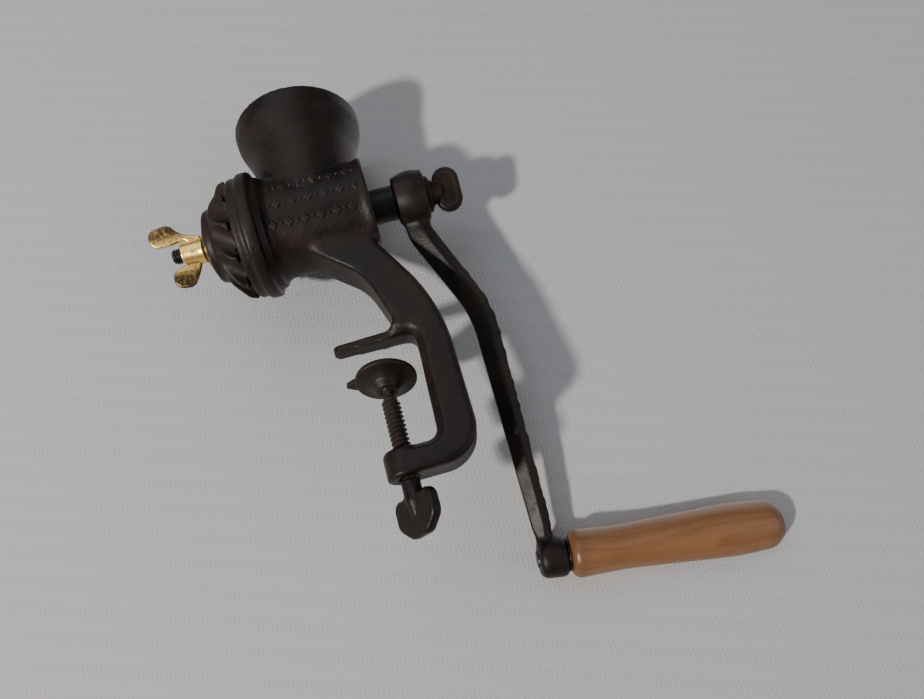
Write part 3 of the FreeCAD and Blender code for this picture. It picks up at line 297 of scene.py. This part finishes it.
finishOf = {
    "mill_body": "patinatedIron", "grinding_cap": "patinatedIron", "crank_arm": "patinatedIron",
    "thumb_screw": "patinatedIron", "feed_worm": "darkIron", "grinding_ring": "burrIron",
    "clamp_screw": "patinatedIron", "clamp_pad": "patinatedIron", "front_stud": "blackSteel",
    "grip_spindle": "blackSteel", "inner_grip_washer": "blackSteel", "outer_grip_washer": "greySteel",
    "thrust_washer": "greySteel", "wing_nut": "agedBrass", "grip": "turnedWood",
}
finishes = {name: makeIron(name) for name in ironLooks}
finishes.update({name: makeSteel(name) for name in steelLooks})
finishes["agedBrass"] = makeBrass()
finishes["turnedWood"] = makeWood()
for node, finishName in finishOf.items():
    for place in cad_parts[node].material_slots:
        place.material = finishes[finishName]
print("finishes made:", len(finishes))


# ---------- cast pieces: the same shapes with the soft edges and blends of a sand casting ----------
def gridMesh(name, points, closeRows=False):
    # points is rows x columns x 3; joins neighbours into quads, and the last column to the first if asked
    rows, columns, _ = points.shape
    index = np.arange(rows * columns).reshape(rows, columns)
    right = np.roll(index, -1, axis=1) if closeRows else index[:, 1:]
    left = index if closeRows else index[:, :-1]
    quads = np.stack([left[:-1], right[:-1], right[1:], left[1:]], axis=-1).reshape(-1, 4)
    mesh = bpy.data.meshes.new(name)
    mesh.from_pydata(points.reshape(-1, 3).tolist(), [], quads.tolist())
    mesh.polygons.foreach_set("use_smooth", np.ones(len(quads), dtype=bool))
    mesh.update()
    made = bpy.data.objects.new(name, mesh)
    bpy.context.scene.collection.objects.link(made)
    return made


def pointsOf(mesh):
    flat = np.empty(len(mesh.vertices) * 3)
    mesh.vertices.foreach_get("co", flat)
    return flat.reshape(-1, 3)


def evenSkin(node, name, cell):
    # a merged copy of the node, skinned again with an even mesh of that cell size
    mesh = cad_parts[node].data.copy()
    shell = bmesh.new()
    shell.from_mesh(mesh)
    bmesh.ops.remove_doubles(shell, verts=shell.verts, dist=1e-6)
    shell.to_mesh(mesh)
    shell.free()
    rough = bpy.data.objects.new(name + "_rough", mesh)
    bpy.context.scene.collection.objects.link(rough)
    skin = rough.modifiers.new("skin", "REMESH")
    skin.mode = "VOXEL"
    skin.voxel_size = cell
    seen = rough.evaluated_get(bpy.context.evaluated_depsgraph_get())
    done = bpy.data.meshes.new_from_object(seen)
    bpy.data.objects.remove(rough)
    made = bpy.data.objects.new(name, done)
    bpy.context.scene.collection.objects.link(made)
    return made


def soften(made, overall, blends, rounds):
    # moves each point towards the mean of its neighbours: a few rounds in and out everywhere, which takes
    # the steps off and keeps the size, then many rounds where a blend's weight is over 0, to fill a corner
    mesh = made.data
    points = pointsOf(mesh)
    ends = np.empty(len(mesh.edges) * 2, dtype=np.int64)
    mesh.edges.foreach_get("vertices", ends)
    first, second = ends.reshape(-1, 2).T
    count = np.bincount(ends, minlength=len(points))[:, None]

    def pull(now):
        total = np.stack([np.bincount(first, now[second, k], len(now))
                          + np.bincount(second, now[first, k], len(now)) for k in range(3)], axis=1)
        return total / count - now

    for _ in range(overall):
        points += 0.50 * pull(points)
        points -= 0.52 * pull(points)
    weight = np.clip(sum(blend(points) for blend in blends), 0, 1)[:, None] if blends else None
    for _ in range(rounds if blends else 0):
        points += 0.5 * weight * pull(points)
    return points


def near(distance, reach):
    # 1 at no distance, 0 from reach on, smooth between
    t = np.clip(1 - distance / reach, 0, 1)
    return t * t * (3 - 2 * t)


def finishCast(made, points, node, body, finishName):
    made.data.vertices.foreach_set("co", points.reshape(-1))
    made.data.polygons.foreach_set("use_smooth", np.ones(len(made.data.polygons), dtype=bool))
    made.data.update()
    made.data.materials.clear()
    made.data.materials.append(finishes[finishName])
    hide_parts(node)
    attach(made, body)
    print(made.name, len(made.data.polygons), "faces")


driveLine = {"height": 0.0757, "mouth": -0.0452}
castBody = {"cell": 0.00088, "overall": 5, "rounds": 34, "hopperPlace": -0.0129, "neckRadius": 0.0244,
            "barrelRadius": 0.0242, "jawRoot": (0.0150, 0.0050), "neckReach": 0.0055, "armReach": 0.009,
            "armTop": 0.052, "armFade": 0.014, "armFrom": -0.036, "armTo": 0.0135, "armShare": 0.8,
            "jawReach": 0.0125}


def neckBlend(p):
    # where the neck's upright cylinder meets the barrel's lying one
    offBarrel = np.abs(np.hypot(p[:, 1], p[:, 2] - driveLine["height"]) - castBody["barrelRadius"])
    offNeck = np.abs(np.hypot(p[:, 0] - castBody["hopperPlace"], p[:, 1]) - castBody["neckRadius"])
    above = p[:, 2] > driveLine["height"] + 0.004
    return near(np.maximum(offBarrel, offNeck), castBody["neckReach"]) * above


def armBlend(p):
    offBarrel = np.abs(np.hypot(p[:, 1], p[:, 2] - driveLine["height"]) - castBody["barrelRadius"])
    below = near(np.clip(p[:, 2] - castBody["armTop"], 0, None), castBody["armFade"])
    between = (p[:, 0] > castBody["armFrom"]) * (p[:, 0] < castBody["armTo"])
    return castBody["armShare"] * near(offBarrel, castBody["armReach"]) * below * between


def jawBlend(p):
    x, z = castBody["jawRoot"]
    return near(np.hypot(p[:, 0] - x, p[:, 2] - z), castBody["jawReach"])


def castMillBody():
    made = evenSkin("mill_body", "mill_casting", castBody["cell"])
    points = soften(made, castBody["overall"], (neckBlend, armBlend, jawBlend), castBody["rounds"])
    finishCast(made, points, "mill_body", "frame", "patinatedIron")


castCrank = {"cell": 0.00055, "overall": 5, "rounds": 40, "endBoss": (0.0542, 0.055258, -0.105042),
             "shaftBoss": 0.0150, "shaftReach": 0.0065, "endRadius": 0.0115, "endReach": 0.005, "seed": 11,
             "lumps": 46, "lumpsFrom": 0.040, "lumpsTo": 0.176, "lumpHeight": 0.00042, "lumpWidth": 0.0016}


def crankBlend(p):
    shaft = np.hypot(p[:, 1], p[:, 2] - driveLine["height"])
    boss = np.linalg.norm(p - np.array(castCrank["endBoss"]), axis=1)
    atShaft = near(np.abs(shaft - castCrank["shaftBoss"]), castCrank["shaftReach"])
    atShaft = atShaft * (p[:, 2] < driveLine["height"])
    return atShaft + near(np.abs(boss - castCrank["endRadius"]), castCrank["endReach"])


def castCrankArm():
    made = evenSkin("crank_arm", "crank_casting", castCrank["cell"])
    points = soften(made, castCrank["overall"], (crankBlend,), castCrank["rounds"])
    made.data.vertices.foreach_set("co", points.reshape(-1))
    made.data.update()
    facing = np.empty(len(points) * 3)
    made.data.vertices.foreach_get("normal", facing)
    facing = facing.reshape(-1, 3)
    # the mould's parting line left small lumps down the arm's outer edge: bell curves summed along its length
    reach = np.hypot(points[:, 1], points[:, 2] - driveLine["height"])
    chance = np.random.default_rng(castCrank["seed"])
    places = chance.uniform(castCrank["lumpsFrom"], castCrank["lumpsTo"], castCrank["lumps"])
    heights = chance.uniform(0.25, 1.0, castCrank["lumps"])
    bells = np.exp(-((reach[:, None] - places) / castCrank["lumpWidth"]) ** 2) @ heights
    edge = np.clip((facing[:, 0] - 0.80) / 0.15, 0, 1)
    points += facing * (edge * np.clip(bells, 0, 1.2) * castCrank["lumpHeight"])[:, None]
    finishCast(made, points, "crank_arm", "drive", "patinatedIron")


castCap = {"cell": 0.00050, "overall": 7, "rounds": 10, "frontDepth": 0.0072, "hubRadius": 0.0075}


def frontBlend(p):
    # the lobes and the disc before them, but not the hole for the shaft
    lobes = p[:, 0] < driveLine["mouth"] - castCap["frontDepth"]
    return 1.0 * lobes * (np.hypot(p[:, 1], p[:, 2] - driveLine["height"]) > castCap["hubRadius"])


def castGrindingCap():
    made = evenSkin("grinding_cap", "cap_casting", castCap["cell"])
    points = soften(made, castCap["overall"], (frontBlend,), castCap["rounds"])
    finishCast(made, points, "grinding_cap", "cap", "patinatedIron")


castMillBody()
castCrankArm()
castGrindingCap()


# ---------- raised ornament on the barrel ----------
ornament = {"start": 0.0055, "length": 0.0505, "rows": (18.0, -6.0, -29.0), "rowHeight": 0.0060,
            "leafPitch": 0.0076, "raise": 0.00075, "sink": 0.0004, "fineness": 0.00022}
barrel = {"axisHeight": 0.0757, "mouth": -0.0452, "radius": 0.0242, "neckRadius": 0.0244, "neckPlace": 0.0323}


def barrelOrnament():
    # height over the barrel: the barrel's cylinder, or the neck's where it stands prouder, plus leaves.
    # A leaf is a lozenge, 1 - |u| - |v| pushed through a soft step, with small round dots between them
    across = np.arange(0.0, ornament["length"] + 1e-9, ornament["fineness"])
    low, high = min(ornament["rows"]) - 10.5, max(ornament["rows"]) + 10.5
    step = math.degrees(ornament["fineness"] / barrel["radius"])
    around = np.arange(low, high, step)
    x, angle = np.meshgrid(across, around)
    height = np.zeros_like(x)
    for k, row in enumerate(ornament["rows"]):
        s = np.radians(angle - row) * barrel["radius"]
        shift = 0.5 * (k % 2)
        u = (x / ornament["leafPitch"] + shift + 0.5) % 1.0 - 0.5
        leaf = 1 - np.abs(u) / 0.34 - np.abs(s) / (ornament["rowHeight"] * 0.5)
        w = (x / ornament["leafPitch"] + shift) % 1.0 - 0.5
        dot = 1 - np.hypot(w * ornament["leafPitch"], s) / 0.0010
        bump = np.clip(np.maximum(leaf / 0.34, dot / 0.5), 0, 1)
        height = np.maximum(height, bump * bump * (3 - 2 * bump))
    ends = np.clip(np.minimum(x, ornament["length"] - x) / 0.0012, 0, 1)
    height = height * ends * ornament["raise"] * 1.6 - ornament["sink"]
    height = np.minimum(height, ornament["raise"])
    turn = np.radians(angle)
    up = np.sin(turn) * (barrel["radius"] + height)
    out = np.cos(turn) * (barrel["radius"] + height)
    reach = np.clip(barrel["neckRadius"] ** 2 - (x + ornament["start"] - barrel["neckPlace"]) ** 2, 0, None)
    neck = np.sqrt(reach) + height
    out = np.where((turn > 0) & (neck > out), neck, out)
    points = np.stack([x + ornament["start"] + barrel["mouth"], -out, up + barrel["axisHeight"]], axis=-1)
    return gridMesh("barrel_ornament", points)


leaves = barrelOrnament()
leaves.data.materials.append(finishes["patinatedIron"])
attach(leaves, "frame")
print("ornament made:", len(leaves.data.polygons), "faces")


# ---------- table cloth behind the mill ----------
camera = {"place": (0.0126, -0.2913, -0.1418), "right": (0.963, 0.0373, -0.2676),
          "up": (0.259, -0.4099, 0.8747), "forward": (0.077, 0.9116, 0.4043), "focal": 700.0}
cloth = {"normal": (0.055, 0.987, 0.158), "distance": 0.363, "size": 2.4, "weave": 0.0022}
tone = {"cloth": (0.40, 0.40, 0.405), "warm": (0.42, 0.37, 0.325), "dot": (0.27, 0.27, 0.28)}


def makeCloth():
    finish, tree, shader = newFinish("paleCloth")
    where = addNode(tree, "ShaderNodeTexCoord").outputs["Object"]
    clouds = noiseOn(tree, where, 0.35, 3, 0.5)
    colour = mixColours(tree, spread(tree, clouds, 0.35, 0.7, 0.0, 0.35), tone["cloth"], tone["warm"])
    shader.inputs["Roughness"].default_value = 0.85
    dots = addNode(tree, "ShaderNodeTexVoronoi", feature="F1")
    dots.inputs["Scale"].default_value = 1 / cloth["weave"]
    dots.inputs["Randomness"].default_value = 0.12
    wire(tree, where, dots.inputs["Vector"])
    dotted = spread(tree, dots.outputs["Distance"], 0.30, 0.12, 0.0, 0.45)
    woven = mixColours(tree, dotted, colour, tone["dot"])
    wire(tree, woven, shader.inputs["Base Color"])
    bumpFrom(tree, shader, [(dots.outputs["Distance"], 0.0007, 0.6)])
    # seen and lit from its front only, so that the mill can be looked at from behind
    side = addNode(tree, "ShaderNodeNewGeometry")
    clear = addNode(tree, "ShaderNodeBsdfTransparent")
    choose = addNode(tree, "ShaderNodeMixShader")
    wire(tree, side.outputs["Backfacing"], choose.inputs[0])
    wire(tree, shader.outputs[0], choose.inputs[1])
    wire(tree, clear.outputs[0], choose.inputs[2])
    wire(tree, choose.outputs[0], tree.nodes["Material Output"].inputs["Surface"])
    return finish


def layCloth():
    # a flat sheet: centre plus u and v times the two directions across its normal
    normal = np.array(cloth["normal"]) / np.linalg.norm(cloth["normal"])
    centre = np.array(camera["place"]) + normal * cloth["distance"]
    side = np.cross(normal, (0, 0, 1.0))
    side /= np.linalg.norm(side)
    top = np.cross(side, normal)
    u, v = np.meshgrid(np.linspace(-0.5, 0.5, 9), np.linspace(-0.5, 0.5, 9))
    points = centre + cloth["size"] * (u[..., None] * side + v[..., None] * top)
    made = gridMesh("table_cloth", points)
    made.data.materials.append(makeCloth())
    if np.dot(np.array(made.data.polygons[0].normal), normal) > 0:
        made.data.flip_normals()
    made.visible_shadow = False
    return made


sheet = layCloth()
print("cloth laid")


# ---------- lights, world and camera ----------
lamps = {
    # name: place in camera directions (right, up, toward the camera), size, power, colour
    "windowLamp": {"place": (-0.98, -0.49, 1.36), "size": 0.12, "power": 33.0, "colour": (1.0, 0.965, 0.92)},
    "skyLamp": {"place": (-0.55, 0.95, 0.95), "size": 1.4, "power": 7.0, "colour": (0.86, 0.93, 1.0)},
    "fillLamp": {"place": (1.3, 0.2, 0.9), "size": 1.6, "power": 7.0, "colour": (1.0, 0.95, 0.88)},
    "backLamp": {"place": (0.6, 0.7, -1.5), "size": 1.6, "power": 34.0, "colour": (1.0, 0.98, 0.95)},
}
right, up, forward = (Vector(camera[key]).normalized() for key in ("right", "up", "forward"))
middle = Vector((0.045, 0.02, 0.02))


def hangLamp(name):
    look = lamps[name]
    data = bpy.data.lights.new(name, "AREA")
    data.shape = "DISK"
    data.size = look["size"]
    data.energy = look["power"]
    data.color = look["colour"]
    made = bpy.data.objects.new(name, data)
    a, b, c = look["place"]
    made.location = middle + right * a + up * b - forward * c
    made.rotation_euler = (made.location - middle).to_track_quat("Z", "Y").to_euler()
    bpy.context.scene.collection.objects.link(made)
    return made


for name in lamps:
    hangLamp(name)

world = bpy.data.worlds.new("studio")
bpy.context.scene.world = world
world.use_nodes = True
world.node_tree.nodes["Background"].inputs["Color"].default_value = (0.86, 0.90, 1.0, 1.0)
world.node_tree.nodes["Background"].inputs["Strength"].default_value = 0.24

eye = bpy.data.cameras.new("eye")
eye.sensor_width = 36.0
eye.lens = 36.0 * camera["focal"] / 924
eye.clip_start = 0.01
eyeObject = bpy.data.objects.new("eye", eye)
turn = Matrix((right, up, -forward)).transposed()
eyeObject.matrix_world = Matrix.Translation(camera["place"]) @ turn.to_4x4()
bpy.context.scene.collection.objects.link(eyeObject)
bpy.context.scene.camera = eyeObject
print("lights and camera placed")
